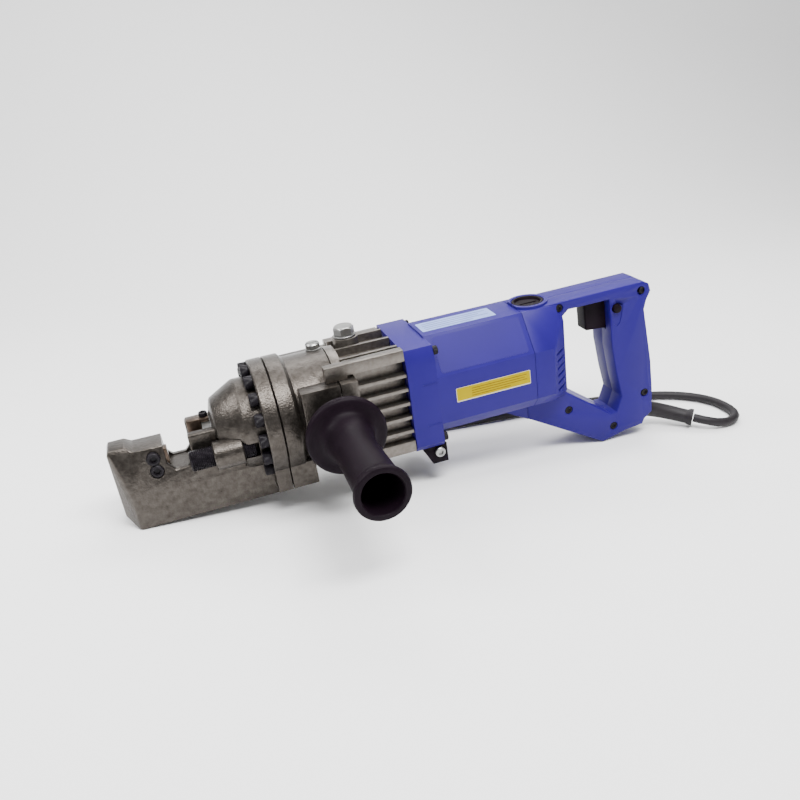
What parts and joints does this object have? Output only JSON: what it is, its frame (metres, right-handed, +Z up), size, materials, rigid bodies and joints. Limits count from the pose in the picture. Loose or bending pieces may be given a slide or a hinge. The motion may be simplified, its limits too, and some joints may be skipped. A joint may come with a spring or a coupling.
{
  "type": "rebar cutter",
  "caption": "Portable electro-hydraulic rebar cutter: cast jaw head with shear blades, finned pump case, side handle, in-line motor and D-handle, with its mains lead coiled behind it.",
  "frame": {"origin": "middle of the tool's box (without the mains lead) on the floor it stands on", "axes": "+X from the nose to the D-handle, +Z up, the side handle points to -Y; the tool's own axis rises 5.64 degrees toward the handle"},
  "size_m": [0.604, 0.3675, 0.155],
  "materials": {
    "cast_steel": "satin cast steel with a metallic grey paint",
    "tool_steel": "hardened, brownish",
    "black_steel": "black oxide",
    "bright_steel": "zinc plated or ground",
    "case_alloy": "die cast, metallic grey",
    "blue_plastic": "ultramarine blue, fine grain",
    "black_plastic": "black",
    "rubber": "black rubber",
    "copper": "copper segments",
    "core_steel": "stacked laminations",
    "carbon": "carbon"
  },
  "bodies": {
    "frame": {"cutter_head": "cast_steel", "cylinder_body": "cast_steel", "front_blade": "tool_steel", "front_blade_screw_upper": "black_steel", "front_blade_screw_lower": "black_steel", "return_spring": "bright_steel", "pump_case": "case_alloy", "oil_plug": "bright_steel", "oil_plug_washer": "bright_steel", "side_handle_stud": "bright_steel", "side_handle_grip": "black_plastic", "motor_housing": "blue_plastic", "handle_left": "blue_plastic", "handle_right": "blue_plastic", "foot": "black_plastic", "foot_screw": "bright_steel", "switch_body": "black_plastic", "brush_cap": "black_plastic", "carbon_brush_upper": "carbon", "carbon_brush_lower": "carbon", "stator": "core_steel", "bearing_front": "bright_steel", "bearing_rear": "bright_steel", "pump_plunger": "bright_steel", "cord_guard": "rubber", "power_cord": "rubber", "cord_coil": "rubber", "power_cord_end": "rubber", "mains_plug": "black_plastic", "flange_screw_1": "black_steel", "flange_screw_2": "black_steel", "flange_screw_3": "black_steel", "flange_screw_4": "black_steel", "flange_screw_5": "black_steel", "flange_screw_6": "black_steel", "flange_screw_7": "black_steel", "handle_screw_1": "black_steel", "handle_screw_2": "black_steel", "handle_screw_3": "black_steel", "handle_screw_4": "black_steel", "handle_screw_5": "black_steel", "housing_screw_top_left": "black_steel", "housing_screw_top_right": "black_steel", "housing_screw_bottom_left": "black_steel", "housing_screw_bottom_right": "black_steel"},
    "ram": {"piston": "bright_steel", "piston_seal": "rubber", "rear_blade": "tool_steel", "rear_blade_screw": "black_steel"},
    "stopper": {"stopper_bolt": "black_steel"},
    "trigger": {"trigger": "black_plastic"},
    "lock_button": {"lock_button": "black_plastic"},
    "armature": {"armature_shaft": "bright_steel", "armature_core": "core_steel", "commutator": "copper", "cooling_fan": "black_plastic", "drive_pinion": "bright_steel"},
    "pump_shaft": {"eccentric_shaft": "bright_steel", "driven_gear": "bright_steel"}
  },
  "joints": [
    {"name": "ram_slide", "type": "slide", "parent": "frame", "child": "ram", "axis": [-0.9952, 0, -0.0984], "range_m": [0, 0.0215], "stiffness_N_per_m": 1500, "springref_m": -0.012, "deforming": ["return_spring"]},
    {"name": "stopper_slide", "type": "slide", "parent": "frame", "child": "stopper", "axis": [-0.9952, 0, -0.0984], "range_m": [0, 0.01]},
    {"name": "trigger_slide", "type": "slide", "parent": "frame", "child": "trigger", "axis": [0.9952, 0, 0.0984], "range_m": [0, 0.006], "stiffness_N_per_m": 400, "springref_m": -0.004},
    {"name": "lock_button_slide", "type": "slide", "parent": "frame", "child": "lock_button", "axis": [0, 1, 0], "range_m": [0, 0.0035], "stiffness_N_per_m": 500, "springref_m": -0.002},
    {"name": "armature_spin", "type": "hinge", "parent": "frame", "child": "armature", "pos_m": [0.06031, 0.06075, 0.09558], "axis": [0.9952, 0, 0.0984], "continuous": true},
    {"name": "pump_shaft_spin", "type": "hinge", "parent": "frame", "child": "pump_shaft", "pos_m": [-0.03187, 0.06075, 0.06235], "axis": [0.9952, 0, 0.0984], "continuous": true}
  ],
  "couplings": [
    {"joint": "pump_shaft_spin", "follows": "armature_spin", "ratio": -0.33333}
  ]
}
